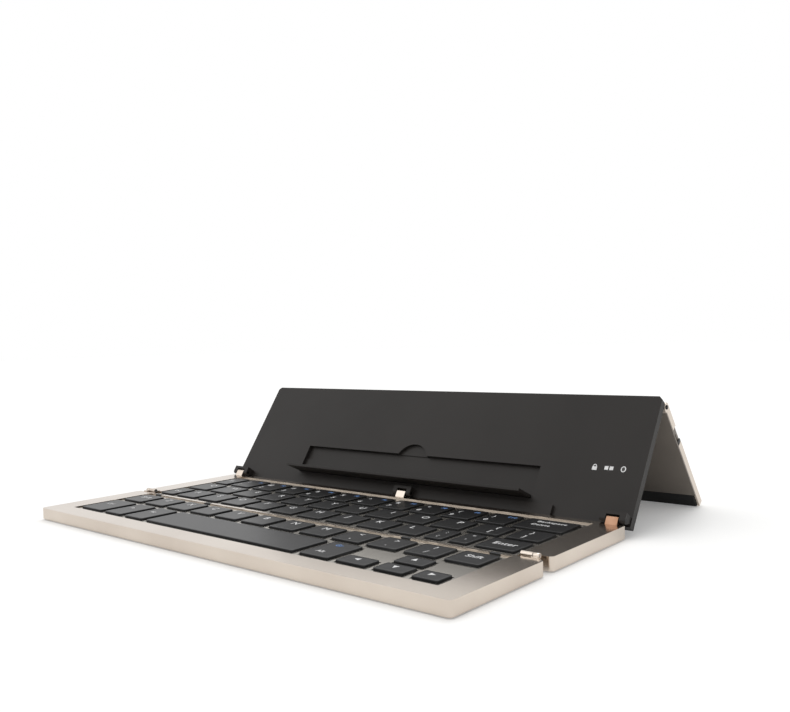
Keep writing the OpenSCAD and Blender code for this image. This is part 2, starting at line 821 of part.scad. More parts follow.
module hinge_pin(x, l, w) {
    rod(x - move_gap - w, x + l + move_gap + w, hinge_pin_r);
}

module left_hinge_bracket() {
    color(black) on_stand() mirror([1, 0, 0]) outer_bracket();
}

module right_hinge_bracket() {
    color(black) on_stand() outer_bracket();
}

module stand_hinge_pins() {
    color(steel) on_stand() both_sides() hinge_pin(barrel_x, barrel_l, outer_ear_w);
}

module centre_hinge_pin() {
    color(steel) on_stand() hinge_pin(centre_lug_x, centre_lug_w, centre_ear_w);
}

// ---------- stand ----------
module stand_outline() {
    polygon([
        [-stand_x, -stand_tail], [stand_x, -stand_tail],
        [stand_x, stand_h - corner_cut], [stand_x - corner_cut, stand_h],
        [-stand_x + corner_cut, stand_h], [-stand_x, stand_h - corner_cut]
    ]);
}

module stand_slab(from, to) {
    translate([0, 0, from]) linear_extrude(to - from) stand_outline();
}

// screws at each side of the stand, clear of the board and the brackets
upper_screws = [for (inset = stand_screw_insets) [inset, stand_h - stand_screw_drop]];
side_screws = concat(upper_screws, [[low_screw_inset, low_screw_v]]);
stand_screw_places = [for (side = [-1, 1]) for (at = side_screws) [side * (stand_x - at[0]), at[1]]];

module stand_front_cover() {
    color(black) on_stand() difference() {
        stand_slab(inner_w, face_w);
        block([-pocket_l / 2, pocket_v, face_w - pocket_d], [pocket_l / 2, pocket_v + pocket_h, face_w + 1]);
        block([-pocket_l / 2, pocket_v + pocket_h - slot_h, face_w - slot_d],
            [pocket_l / 2, pocket_v + pocket_h, face_w + 1]);
        translate([0, pocket_v + pocket_h + notch_rise - notch_r, face_w - pocket_d])
            cylinder(h = pocket_d + 1, r = notch_r);
        both_sides() translate([0, flap_axis_v, flap_axis_w])
            rod(pocket_l / 2 - eps, pocket_l / 2 + pin_grip, flap_pin_r);
        bracket_seats();
        block([board_x - seat_gap, board_v - seat_gap, inner_w - 1],
            [board_x + board_w + seat_gap, board_v + board_h + seat_gap, board_front]);
        for (i = [0:2]) translate([lamp_x + i * lamp_pitch, lamp_v, inner_w])
            cylinder(h = stand_t, r = lamp_r);
        for (at = stand_screw_places) translate([at[0], at[1], back_w])
            cylinder(h = stand_screw_l + seat_gap, r = screw_r);
    }
}

module stand_rear_cover() {
    color(black) on_stand() difference() {
        union() {
            stand_slab(back_w, inner_w);
            both_sides() translate([0, leg_v, 0]) {
                translate([0, 0, leg_w]) rod(lug_x, lug_x + lug_w, lug_r);
                block([lug_x, -lug_r, leg_w], [lug_x + lug_w, min(lug_r, pin_drop), back_w + eps]);
            }
        }
        both_sides() translate([0, leg_v, leg_w]) rod(lug_x - 1, lug_x + lug_w + 1, leg_pin_r + run_fit);
        for (at = stand_screw_places) translate([at[0], at[1], back_w - 1]) {
            cylinder(h = 1 + screw_head_t, r = screw_head_r);
            cylinder(h = back_t + 2, r = screw_r);
        }
    }
}

module stand_screws() {
    color(steel) on_stand() for (at = stand_screw_places) translate([at[0], at[1], back_w]) {
        cylinder(h = screw_head_t, r = screw_head_r);
        cylinder(h = stand_screw_l, r = screw_r);
    }
}

// the bar carries the bracket of the centre lug
module hinge_cover_bar() {
    color(black) on_stand() {
        block([-bar_x, -bar_drop, face_w], [bar_x, bar_top, face_w + bar_rise]);
        bracket(centre_lug_x, centre_lug_w, centre_ear_w);
    }
}

module control_board() {
    color(sheet_green) on_stand()
        block([board_x, board_v, board_front - board_t], [board_x + board_w, board_v + board_h, board_front]);
}

module light_windows() {
    color(rubber_pale) on_stand() for (i = [0:2]) translate([lamp_x + i * lamp_pitch, lamp_v, board_front])
        cylinder(h = face_w - board_front, r = lamp_r);
}

module rest_flap() {
    color(black) on_stand() translate([0, flap_axis_v, flap_axis_w]) rotate([flap_open, 0, 0]) difference() {
        union() {
            rod(-flap_l / 2, flap_l / 2, flap_t / 2);
            block([-flap_l / 2, 0, -flap_t / 2], [flap_l / 2, flap_h, flap_t / 2]);
        }
        both_sides() rod(flap_l / 2 - pin_grip, flap_l / 2 + 1, flap_pin_r + run_fit);
    }
}

module flap_pins() {
    color(steel) on_stand() translate([0, flap_axis_v, flap_axis_w])
        both_sides() rod(flap_l / 2 - pin_grip + seat_gap, pocket_l / 2 + pin_grip, flap_pin_r);
}

// ---------- leg ----------
module on_leg() {
    on_stand() translate([0, leg_v, leg_w]) rotate([leg_open, 0, 0]) children();
}

module leg_body() {
    rod(-stand_x, stand_x, leg_t / 2);
    block([-stand_x, -leg_l, -leg_t / 2], [stand_x, 0, leg_t / 2]);
}

module leg_lug_notch() {
    both_sides() block([lug_x - move_gap, -lug_r - 2 * move_gap, -leg_t],
        [lug_x + lug_w + move_gap, leg_t, leg_t]);
}

module leg_pin(past = 0) {
    rod(lug_x - leg_pin_grip, stand_x + leg_pin_out + past, leg_pin_r);
}

leg_screw_rows = [cavity_top - leg_screw_drop, cavity_end + leg_screw_rise];
leg_screw_columns = [cavity_x - leg_screw_insets[0], battery_w / 2 + leg_screw_insets[1]];
leg_screw_places = [for (side = [-1, 1]) for (x = leg_screw_columns) for (y = leg_screw_rows) [side * x, y]];

module leg_shell() {
    color(champagne) on_leg() difference() {
        leg_body();
        leg_lug_notch();
        difference() {
            block([-cavity_x, cavity_end, -leg_t / 2 + leg_wall], [cavity_x, cavity_top, leg_t]);
            for (at = leg_screw_places) translate([at[0], at[1], -leg_t / 2])
                cylinder(h = leg_t - leg_cover_t, r = screw_head_r + boss_wall);
        }
        block([-deck_w, -leg_l - 1, leg_t / 2 - leg_cover_t], [deck_w, cavity_top + cover_top_lap, leg_t]);
        block([-band_x, -leg_l - 1, 0], [band_x, band_v, leg_t]);
        both_sides() leg_pin(past = 1);
        for (at = leg_screw_places)
            translate([at[0], at[1], -leg_t / 2 + leg_wall]) cylinder(h = leg_t, r = screw_r);
        stem_slot();
        block([stand_x - switch_notch, switch_end, -leg_t], [deck_w, -switch_start, leg_t]);
    }
}

// slot through the leg's side wall and the notch's floor, as long as the stem and its travel
module stem_slot() {
    block([cavity_x - 1, stem_y - move_gap, -switch_h / 2],
        [deck_w, stem_y + stem_l + switch_travel + move_gap, switch_h / 2]);
}

module leg_inner_cover() {
    color(leg_brown) on_leg() difference() {
        union() {
            block([-stand_x, band_v + seat_gap, leg_t / 2 - leg_cover_t],
                [stand_x, cavity_top + cover_top_lap - seat_gap, leg_t / 2]);
            block([stand_x - switch_notch + seat_gap, switch_end + seat_gap, -leg_t / 2 + seat_gap],
                [stand_x - switch_sink, -switch_start - seat_gap, leg_t / 2]);
        }
        leg_lug_notch();
        stem_slot();
        for (at = leg_screw_places) translate([at[0], at[1], 0]) {
            cylinder(h = leg_t, r = screw_r);
            translate([0, 0, leg_t / 2 - screw_head_t]) cylinder(h = leg_t, r = screw_head_r);
        }
    }
}

module leg_screws() {
    leg_screw_l = leg_t - leg_wall - tip_gap;
    color(steel) on_leg() for (at = leg_screw_places) {
        translate([at[0], at[1], leg_t / 2 - screw_head_t]) cylinder(h = screw_head_t, r = screw_head_r);
        translate([at[0], at[1], leg_t / 2 - leg_screw_l]) cylinder(h = leg_screw_l - eps, r = screw_r);
    }
}

module leg_pins() {
    color(black) on_leg() both_sides() leg_pin();
}

module foot_band() {
    color(rubber_black) difference() {
        on_leg() block([-band_x, -leg_l, 0], [band_x, band_v, leg_t / 2]);
        block([-deck_w, hinge_y, -leg_l], [deck_w, hinge_y + deck_w, 0]);
    }
}

module battery() {
    color(steel) on_leg() block([-battery_w / 2, battery_top - battery_h, -leg_t / 2 + leg_wall],
        [battery_w / 2, battery_top, leg_t / 2 - leg_cover_t - seat_gap]);
}

module switch_body() {
    color(steel) on_leg() block([cavity_x - 1 - switch_body_w, switch_end - 1, -leg_t / 2 + leg_wall],
        [cavity_x - 1, -switch_start + 1, leg_t / 2 - leg_cover_t - seat_gap]);
}

module switch_button() {
    color(rubber_black) on_leg() {
        block([cavity_x - 1, stem_y, -switch_h / 2 + switch_play],
            [stand_x, stem_y + stem_l, switch_h / 2 - switch_play]);
        block([stand_x - switch_sink + switch_play, button_y, -leg_t / 2 + move_gap],
            [stand_x + switch_out, button_y + switch_l, leg_t / 2 - leg_cover_t - move_gap]);
    }
}

rear_case();
rear_base_plate();
rear_key_plate();
rear_switch_sheet();
rear_domes();
rear_feet();
front_case();
front_base_plate();
front_key_plate();
front_switch_sheet();
front_domes();
front_feet();
rear_case_screws();
front_case_screws();
fold_ribbon();
fold_wall_inserts();
rear_fold_leaves();
front_fold_leaves();
fold_pins();
escape_key();
number_keys();
backspace_key();
upper_letter_keys();
caps_key();
home_letter_keys();
enter_key();
left_shift_key();
lower_letter_keys();
right_shift_key();
left_modifier_keys();
space_bar();
right_modifier_key();
left_arrow_key();
up_arrow_key();
down_arrow_key();
right_arrow_key();
left_hinge_barrel();
right_hinge_barrel();
centre_hinge_lug();
centre_hinge_pin();
left_hinge_bracket();
right_hinge_bracket();
stand_hinge_pins();
stand_front_cover();
stand_rear_cover();
hinge_cover_bar();
stand_screws();
control_board();
light_windows();
rest_flap();
flap_pins();
leg_shell();
leg_inner_cover();
leg_pins();
foot_band();
leg_screws();
battery();
switch_body();
switch_button();
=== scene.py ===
import json
import math
import bmesh
import bpy
from mathutils import Matrix, Vector


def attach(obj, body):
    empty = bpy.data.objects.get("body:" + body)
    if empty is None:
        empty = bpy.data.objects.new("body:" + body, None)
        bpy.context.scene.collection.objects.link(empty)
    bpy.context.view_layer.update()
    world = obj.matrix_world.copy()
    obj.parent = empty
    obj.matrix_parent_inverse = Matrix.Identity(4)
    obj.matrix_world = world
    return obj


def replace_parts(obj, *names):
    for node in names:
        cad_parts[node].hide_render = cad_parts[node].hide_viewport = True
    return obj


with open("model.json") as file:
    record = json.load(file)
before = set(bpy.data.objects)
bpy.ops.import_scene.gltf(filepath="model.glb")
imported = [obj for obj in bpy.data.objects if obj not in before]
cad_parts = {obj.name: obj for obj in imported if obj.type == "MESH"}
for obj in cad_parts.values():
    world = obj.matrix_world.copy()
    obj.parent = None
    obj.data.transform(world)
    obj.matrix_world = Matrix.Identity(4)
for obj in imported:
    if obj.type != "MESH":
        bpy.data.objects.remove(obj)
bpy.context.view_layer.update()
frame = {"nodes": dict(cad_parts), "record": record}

mm = 0.001
scene = bpy.context.scene
print("frame loaded")

cameraSettings = {
    "place": (264.45, -276.74, 80.9),   # mm, in the part's frame
    "azimuth": 40.192,                  # degrees to the right of the front
    "elevation": 1.970,
    "roll": -1.454,
    "focal": 818.3,                     # px, in the 790 x 712 picture
    "centre": (398.64, 371.47),         # px
    "picture": (790, 712),
    "sensor": 36.0,                     # mm
    "clip": (0.01, 20),                 # m
}


def makeCamera(settings):
    azimuth = math.radians(settings["azimuth"])
    elevation = math.radians(settings["elevation"])
    roll = math.radians(settings["roll"])
    back = Vector((math.sin(azimuth) * math.cos(elevation),
                   -math.cos(azimuth) * math.cos(elevation), math.sin(elevation)))
    level = Vector((math.cos(azimuth), math.sin(azimuth), 0))
    upright = back.cross(level)
    right = math.cos(roll) * level + math.sin(roll) * upright
    up = -math.sin(roll) * level + math.cos(roll) * upright
    data = bpy.data.cameras.new("camera")
    data.sensor_width = settings["sensor"]
    wide, high = settings["picture"]
    data.lens = settings["focal"] / wide * settings["sensor"]
    data.shift_x = (wide / 2 - settings["centre"][0]) / wide
    data.shift_y = (settings["centre"][1] - high / 2) / wide
    data.clip_start, data.clip_end = settings["clip"]
    camera = bpy.data.objects.new("camera", data)
    place = Vector(settings["place"]) * mm
    camera.matrix_world = Matrix((
        (right.x, up.x, back.x, place.x),
        (right.y, up.y, back.y, place.y),
        (right.z, up.z, back.z, place.z),
        (0, 0, 0, 1)))
    scene.collection.objects.link(camera)
    scene.camera = camera


makeCamera(cameraSettings)
print("camera placed")


# an sRGB hex colour as the linear values that a shader takes
def linear(hexCode):
    parts = [int(hexCode[i:i + 2], 16) / 255 for i in (1, 3, 5)]
    parts = [c / 12.92 if c <= 0.04045 else ((c + 0.055) / 1.055) ** 2.4 for c in parts]
    return (*parts, 1.0)


def addNode(tree, kind, settings=None, links=None):
    node = tree.nodes.new(kind)
    for key, value in (settings or {}).items():
        if key in node.inputs:
            node.inputs[key].default_value = value
        else:
            setattr(node, key, value)
    for key, source in (links or {}).items():
        tree.links.new(source, node.inputs[key])
    return node


def startMaterial(name):
    material = bpy.data.materials.new(name)
    material.use_nodes = True
    material.node_tree.nodes.clear()
    return material, material.node_tree


def finishMaterial(tree, shader):
    addNode(tree, "ShaderNodeOutputMaterial", links={"Surface": shader.outputs[0]})


def perMillimetre(size):
    return 1000 / size   # texture scale that makes one cell this many mm wide


noiseSettings = {
    "drift": {"Detail": 3.0, "Roughness": 0.5},
    "grain": {"Detail": 2.0, "Roughness": 0.6},
    "stroke": {"Detail": 4.0, "Roughness": 0.6},
    "grainedEnds": (0.35, 0.65),   # where the two colours of a grained surface are reached
    "brushedEnds": (0.3, 0.7),     # where those of a brushed one are
}


# What grained and brushed surfaces share: two near colours mixed by one noise, and
# a roughness that wanders a little and a bump from another.
def coatSurface(tree, tintNoise, ends, grain, look):
    tint = addNode(tree, "ShaderNodeValToRGB", links={"Fac": tintNoise})
    stops = tint.color_ramp.elements
    for i, colour in enumerate((look["dark"], look["light"])):
        stops[i].position = ends[i]
        stops[i].color = linear(colour)
    gloss = addNode(tree, "ShaderNodeMapRange",
                    {"To Min": look["roughness"] - look["roughnessDrift"],
                     "To Max": look["roughness"] + look["roughnessDrift"]},
                    {"Value": grain})
    bump = addNode(tree, "ShaderNodeBump",
                   {"Strength": look["bump"], "Distance": look["bumpDepth"] * mm},
                   {"Height": grain})
    shader = addNode(tree, "ShaderNodeBsdfPrincipled", look["shader"],
                     {"Base Color": tint.outputs["Color"], "Roughness": gloss.outputs["Result"],
                      "Normal": bump.outputs["Normal"]})
    finishMaterial(tree, shader)


# A surface with a fine grain, whose colour drifts slowly.
def grainedMaterial(name, look):
    material, tree = startMaterial(name)
    place = addNode(tree, "ShaderNodeTexCoord")
    drift = addNode(tree, "ShaderNodeTexNoise",
                    {"Scale": perMillimetre(look["driftSize"]), **noiseSettings["drift"]},
                    {"Vector": place.outputs["Object"]})
    grain = addNode(tree, "ShaderNodeTexNoise",
                    {"Scale": perMillimetre(look["grainSize"]), **noiseSettings["grain"]},
                    {"Vector": place.outputs["Object"]})
    coatSurface(tree, drift.outputs["Fac"], noiseSettings["grainedEnds"],
                grain.outputs["Fac"], look)
    return material


# A metal that was brushed along X: a noise drawn out along the stroke.
def brushedMaterial(name, look):
    material, tree = startMaterial(name)
    place = addNode(tree, "ShaderNodeTexCoord")
    drawn = addNode(tree, "ShaderNodeMapping", {"Scale": look["stroke"]},
                    {"Vector": place.outputs["Object"]})
    lines = addNode(tree, "ShaderNodeTexNoise",
                    {"Scale": perMillimetre(look["lineSize"]), **noiseSettings["stroke"]},
                    {"Vector": drawn.outputs["Vector"]})
    coatSurface(tree, lines.outputs["Fac"], noiseSettings["brushedEnds"],
                lines.outputs["Fac"], look)
    return material


def makeMaterials():
    found = {}
    # bead-blasted and anodised aluminium: a satin metal with a warm champagne tint
    found["champagne_aluminium"] = grainedMaterial("champagneAnodisedAluminium", {
        "dark": "#cbbfb3", "light": "#d5cabe", "driftSize": 40, "grainSize": 0.35,
        "roughness": 0.18, "roughnessDrift": 0.04, "bump": 0.12, "bumpDepth": 0.01,
        "shader": {"Metallic": 1.0}})
    # the same blasted aluminium under a copper-coloured anodised coat
    found["copper_metal"] = grainedMaterial("copperAnodisedAluminium", {
        "dark": "#99735a", "light": "#a8836b", "driftSize": 6, "grainSize": 0.3,
        "roughness": 0.3, "roughnessDrift": 0.05, "bump": 0.2, "bumpDepth": 0.02,
        "shader": {"Metallic": 1.0}})
    # stamped aluminium sheet, anodised grey: duller than the frame around it
    found["key_plate_metal"] = grainedMaterial("greyAnodisedSheet", {
        "dark": "#b3aea6", "light": "#bfbab1", "driftSize": 25, "grainSize": 0.3,
        "roughness": 0.22, "roughnessDrift": 0.04, "bump": 0.12, "bumpDepth": 0.01,
        "shader": {"Metallic": 1.0}})
    # moulded ABS with a spark-eroded finish: black, with a soft sheen at flat angles
    found["key_plastic"] = grainedMaterial("blackMouldedAbs", {
        "dark": "#111112", "light": "#161617", "driftSize": 12, "grainSize": 0.25,
        "roughness": 0.32, "roughnessDrift": 0.05, "bump": 0.15, "bumpDepth": 0.01,
        "shader": {"IOR": 1.52, "Specular IOR Level": 0.24}})
    # soft-touch paint over polycarbonate: warm black, silky
    found["stand_plastic"] = grainedMaterial("softTouchPolycarbonate", {
        "dark": "#24211f", "light": "#2a2725", "driftSize": 60, "grainSize": 0.3,
        "roughness": 0.45, "roughnessDrift": 0.04, "bump": 0.15, "bumpDepth": 0.01,
        "shader": {"IOR": 1.5, "Specular IOR Level": 0.22}})
    # moulded ABS base with a coarser grain
    found["base_plastic"] = grainedMaterial("grainedAbsBase", {
        "dark": "#1c1c1d", "light": "#242425", "driftSize": 30, "grainSize": 0.5,
        "roughness": 0.55, "roughnessDrift": 0.06, "bump": 0.45, "bumpDepth": 0.03,
        "shader": {"IOR": 1.5}})
    # grained polycarbonate, brown-grey
    found["leg_cover_plastic"] = grainedMaterial("brownGreyPolycarbonate", {
        "dark": "#766e66", "light": "#827a71", "driftSize": 40, "grainSize": 0.45,
        "roughness": 0.5, "roughnessDrift": 0.05, "bump": 0.35, "bumpDepth": 0.025,
        "shader": {"IOR": 1.5}})
    # vulcanised rubber: nearly no shine
    found["black_rubber"] = grainedMaterial("blackRubber", {
        "dark": "#0e0e0e", "light": "#141414", "driftSize": 8, "grainSize": 0.4,
        "roughness": 0.8, "roughnessDrift": 0.08, "bump": 0.5, "bumpDepth": 0.04,
        "shader": {"IOR": 1.5}})
    # small moulded acetal pieces: dark and slippery
    found["insert_plastic"] = grainedMaterial("blackAcetal", {
        "dark": "#0f0f10", "light": "#151516", "driftSize": 5, "grainSize": 0.2,
        "roughness": 0.45, "roughnessDrift": 0.04, "bump": 0.15, "bumpDepth": 0.01,
        "shader": {"IOR": 1.48}})
    # milky silicone: translucent, soft
    found["silicone"] = grainedMaterial("milkySilicone", {
        "dark": "#cfcfca", "light": "#dcdcd6", "driftSize": 5, "grainSize": 0.3,
        "roughness": 0.6, "roughnessDrift": 0.05, "bump": 0.2, "bumpDepth": 0.02,
        "shader": {"IOR": 1.41, "Subsurface Weight": 0.2}})
    # printed polyester film
    found["circuit_sheet"] = grainedMaterial("printedPolyesterFilm", {
        "dark": "#5f7a6c", "light": "#72907f", "driftSize": 3, "grainSize": 0.5,
        "roughness": 0.35, "roughnessDrift": 0.05, "bump": 0.1, "bumpDepth": 0.01,
        "shader": {"IOR": 1.6}})
    # polyimide film over copper: amber, glossy
    found["ribbon_film"] = grainedMaterial("amberPolyimide", {
        "dark": "#a5651c", "light": "#bb7a2a", "driftSize": 1.2, "grainSize": 0.4,
        "roughness": 0.3, "roughnessDrift": 0.05, "bump": 0.1, "bumpDepth": 0.01,
        "shader": {"IOR": 1.7}})
    # solder mask over glass fibre board
    found["circuit_board"] = grainedMaterial("greenSolderMask", {
        "dark": "#14502c", "light": "#1c6538", "driftSize": 2, "grainSize": 0.5,
        "roughness": 0.35, "roughnessDrift": 0.05, "bump": 0.2, "bumpDepth": 0.02,
        "shader": {"IOR": 1.55}})
    # crinkled aluminium laminate of a pouch cell
    found["cell_foil"] = grainedMaterial("pouchCellFoil", {
        "dark": "#a9a9ab", "light": "#bdbdbf", "driftSize": 8, "grainSize": 1.5,
        "roughness": 0.4, "roughnessDrift": 0.08, "bump": 0.5, "bumpDepth": 0.05,
        "shader": {"Metallic": 1.0}})
    # turned and brushed stainless steel
    found["steel"] = brushedMaterial("brushedStainlessSteel", {
        "dark": "#98979a", "light": "#bcbbbd", "stroke": (0.06, 1.0, 1.0), "lineSize": 0.15,
        "roughness": 0.28, "roughnessDrift": 0.06, "bump": 0.3, "bumpDepth": 0.01,
        "shader": {"Metallic": 1.0}})
    # blackened steel of the leg's and the stand's pins
    found["black_steel"] = brushedMaterial("blackenedSteel", {
        "dark": "#1b1b1c", "light": "#29292a", "stroke": (0.06, 1.0, 1.0), "lineSize": 0.15,
        "roughness": 0.35, "roughnessDrift": 0.06, "bump": 0.3, "bumpDepth": 0.01,
        "shader": {"Metallic": 1.0}})
    # smoked acrylic over the lights
    found["clear_window"] = grainedMaterial("smokedAcrylic", {
        "dark": "#24211f", "light": "#2a2725", "driftSize": 3, "grainSize": 0.3,
        "roughness": 0.15, "roughnessDrift": 0.03, "bump": 0.05, "bumpDepth": 0.01,
        "shader": {"IOR": 1.49}})
    # pad-printed legend ink: thick, slightly chalky
    found["whiteInk"] = grainedMaterial("whiteLegendInk", {
        "dark": "#dadada", "light": "#ececec", "driftSize": 2, "grainSize": 0.2,
        "roughness": 0.55, "roughnessDrift": 0.05, "bump": 0.15, "bumpDepth": 0.01,
        "shader": {"IOR": 1.5}})
    found["blueInk"] = grainedMaterial("blueLegendInk", {
        "dark": "#5b86c4", "light": "#6f99d4", "driftSize": 2, "grainSize": 0.2,
        "roughness": 0.55, "roughnessDrift": 0.05, "bump": 0.15, "bumpDepth": 0.01,
        "shader": {"IOR": 1.5}})
    return found


materials = makeMaterials()
slotOfNode = {s["node"]: s["material_slot"] for s in frame["record"]["subparts"]}
bodyOfNode = {nodeName: body for body, nodeNames in frame["record"]["behaviour"]["bodies"].items()
              for nodeName in nodeNames}
for nodeName, cadObject in frame["nodes"].items():
    cadObject.data.materials.clear()
    cadObject.data.materials.append(materials[slotOfNode[nodeName]])
print("materials made")


def toMesh(form, name):
    mesh = bpy.data.meshes.new(name)
    form.to_mesh(mesh)
    form.free()
    return mesh


def addPiece(name, mesh, body, slotName, material=None):
    piece = bpy.data.objects.new(name, mesh)
    mesh.materials.clear()
    mesh.materials.append(material or materials[slotName])
    scene.collection.objects.link(piece)
    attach(piece, body)
    return piece


formSettings = {
    "weld": 0.0005,      # mm, points that are nearer become one
    "flat": 0.5,         # degrees, faces that meet flatter become one
}


def cadForm(nodeName):
    form = bmesh.new()
    form.from_mesh(frame["nodes"][nodeName].data)
    bmesh.ops.remove_doubles(form, verts=form.verts, dist=formSettings["weld"] * mm)
    bmesh.ops.dissolve_limit(form, angle_limit=math.radians(formSettings["flat"]),
                             verts=form.verts, edges=form.edges)
    return form


# the parts of a node that hang together, each as (lowest corner, highest corner)
def boxesOf(form):
    waiting = set(form.verts)
    boxes = []
    while waiting:
        group = [waiting.pop()]
        for vert in group:
            for edge in vert.link_edges:
                other = edge.other_vert(vert)
                if other in waiting:
                    waiting.discard(other)
                    group.append(other)
        low = Vector([min(v.co[i] for v in group) for i in range(3)])
        high = Vector([max(v.co[i] for v in group) for i in range(3)])
        boxes.append((low, high))
    return sorted(boxes, key=lambda b: b[0].x)


def solvedMesh(piece):
    bpy.context.view_layer.update()
    graph = bpy.context.evaluated_depsgraph_get()
    return bpy.data.meshes.new_from_object(piece.evaluated_get(graph))


def applyModifiers(piece):
    solved = solvedMesh(piece)
    piece.modifiers.clear()
    piece.data = solved


def smoothFaces(mesh, sharpest):
    for face in mesh.polygons:
        face.use_smooth = True
    mesh.set_sharp_from_angle(angle=math.radians(sharpest))


edgeSettings = {
    "segments": 2,       # steps of a broken edge
    "sharpest": 28,      # degrees, corners sharper than this are broken
    "crisp": 35,         # degrees, corners sharper than this stay crisp in the shading
    "flatWeight": 100,   # leaves large flat faces flat
}


# A CAD piece with its sharp edges broken, as a deburred or moulded edge is.
def softened(nodeName, edgeWidth, segments=edgeSettings["segments"]):
    mesh = toMesh(cadForm(nodeName), nodeName + "_finished")
    piece = addPiece(nodeName + "_finished", mesh, bodyOfNode[nodeName], slotOfNode[nodeName])
    bevel = piece.modifiers.new("edges", "BEVEL")
    bevel.width = edgeWidth * mm
    bevel.segments = segments
    bevel.limit_method = "ANGLE"
    bevel.angle_limit = math.radians(edgeSettings["sharpest"])
    bevel.use_clamp_overlap = True
    applyModifiers(piece)
    smoothFaces(piece.data, edgeSettings["crisp"])
    weighted = piece.modifiers.new("normals", "WEIGHTED_NORMAL")
    weighted.keep_sharp = True
    weighted.weight = edgeSettings["flatWeight"]
    applyModifiers(piece)
    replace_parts(piece, nodeName)
    return piece


# mm, how wide each piece's edges are broken
edgeWidths = {
    "rear_case": 0.35, "front_case": 0.35, "leg_shell": 0.3,
    "stand_front_cover": 0.25, "stand_rear_cover": 0.2, "hinge_cover_bar": 0.3,
    "rest_flap": 0.25, "left_hinge_bracket": 0.25, "right_hinge_bracket": 0.25,
    "left_hinge_barrel": 0.2, "right_hinge_barrel": 0.2, "centre_hinge_lug": 0.15,
    "rear_fold_leaves": 0.12, "front_fold_leaves": 0.12, "fold_wall_inserts": 0.15,
    "leg_inner_cover": 0.15, "foot_band": 0.3, "rear_feet": 0.15, "front_feet": 0.15,
    "rear_base_plate": 0.12, "front_base_plate": 0.12, "switch_button": 0.12,
    "rear_key_plate": 0.03, "front_key_plate": 0.03, "leg_pins": 0.2,
    "stand_hinge_pins": 0.08, "centre_hinge_pin": 0.08,
}
for nodeName, width in edgeWidths.items():
    softened(nodeName, width)
print("edges softened")

# A cross recess in each screw head: the piece is cut with one cross per head.
recessSettings = {
    "span": 1.3,         # mm, from tip to tip
    "arm": 0.34,         # mm, width of an arm
    "depth": 0.22,       # mm
    "headEdge": 0.06,    # mm, broken edge of the head
    "headArea": 2.43,    # mm2, faces that are larger and look outward are heads
    "outward": 0.999,    # least cosine between such a face and the screw's direction
}


def crossCutter(places, outward, settings):
    form = bmesh.new()
    side = outward.orthogonal().normalized()
    other = outward.cross(side)
    for place in places:
        for along, across in ((side, other), (other, -side)):
            turn = Matrix((along, across, outward)).transposed()
            sized = turn @ Matrix.Diagonal((settings["span"] * mm, settings["arm"] * mm,
                                            2 * settings["depth"] * mm))
            bmesh.ops.create_cube(form, size=1, matrix=Matrix.Translation(place) @ sized.to_4x4())
    cutter = bpy.data.objects.new("cutter", toMesh(form, "cutter"))
    scene.collection.objects.link(cutter)
    return cutter


# the middle of each head: the mean of the face that looks outward
def headPlaces(nodeName, outward, settings):
    form = cadForm(nodeName)
    places = []
    for face in form.faces:
        facing = face.normal.dot(outward) > settings["outward"]
        if facing and face.calc_area() > settings["headArea"] * mm ** 2:
            places.append(face.calc_center_median())
    form.free()
    return places


def recessedScrews(nodeName, outward, settings):
    places = headPlaces(nodeName, outward, settings)
    piece = softened(nodeName, settings["headEdge"], segments=1)
    cutter = crossCutter(places, outward, settings)
    cut = piece.modifiers.new("cross", "BOOLEAN")
    cut.operation = "DIFFERENCE"
    cut.solver = "EXACT"
    cut.object = cutter
    cut.use_self = True
    applyModifiers(piece)
    bpy.data.objects.remove(cutter)


standSlope = math.radians(55.2)    # lean of the stand, as in the part
legPitch = math.radians(51.6)      # lean of the open leg, as in the part
screwDirections = {
    "rear_case_screws": Vector((0, 0, -1)),
    "front_case_screws": Vector((0, 0, -1)),
    "stand_screws": Vector((0, math.sin(standSlope), -math.cos(standSlope))),
    "leg_screws": Vector((0, -math.sin(legPitch), -math.cos(legPitch))),
}
for nodeName, outward in screwDirections.items():
    recessedScrews(nodeName, outward, recessSettings)
print("screws cut")

keySettings = {
    "corner": 1.0,       # mm, radius of a key's corners
    "draft": 0.12,       # mm, how much narrower the top is on each side
    "edge": 0.25,        # mm, rounding around the top
    "round": 3,          # steps of that rounding
    "roundShrink": 0.6,  # share of it by which the corners get smaller
    "dish": 0.06,        # mm, hollow of the top
    # (mm in from the rounding, share of the hollow, share of the corner) of each ring in it
    "dishRings": ((1.2, 0.7, 0.7), (2.4, 1.0, 0.5)),
    "arc": 5,            # steps of a corner
    "flange": 0.4,       # mm, as the part's own flange
    "flangeHeight": 0.8,  # mm, likewise
    "crisp": 50,         # degrees, corners sharper than this stay crisp in the shading
}


def roundedRing(form, low, high, radius, z, steps):
    ring = []
    corners = [(high[0] - radius, high[1] - radius, 0), (low[0] + radius, high[1] - radius, 90),
               (low[0] + radius, low[1] + radius, 180), (high[0] - radius, low[1] + radius, 270)]
    for x, y, start in corners:
        for i in range(steps + 1):
            angle = math.radians(start + 90 * i / steps)
            ring.append(form.verts.new((x + radius * math.cos(angle),
                                        y + radius * math.sin(angle), z)))
    return ring


def joinRings(form, lower, upper):
    count = len(lower)
    for i in range(count):
        j = (i + 1) % count
        form.faces.new((lower[i], lower[j], upper[j], upper[i]))


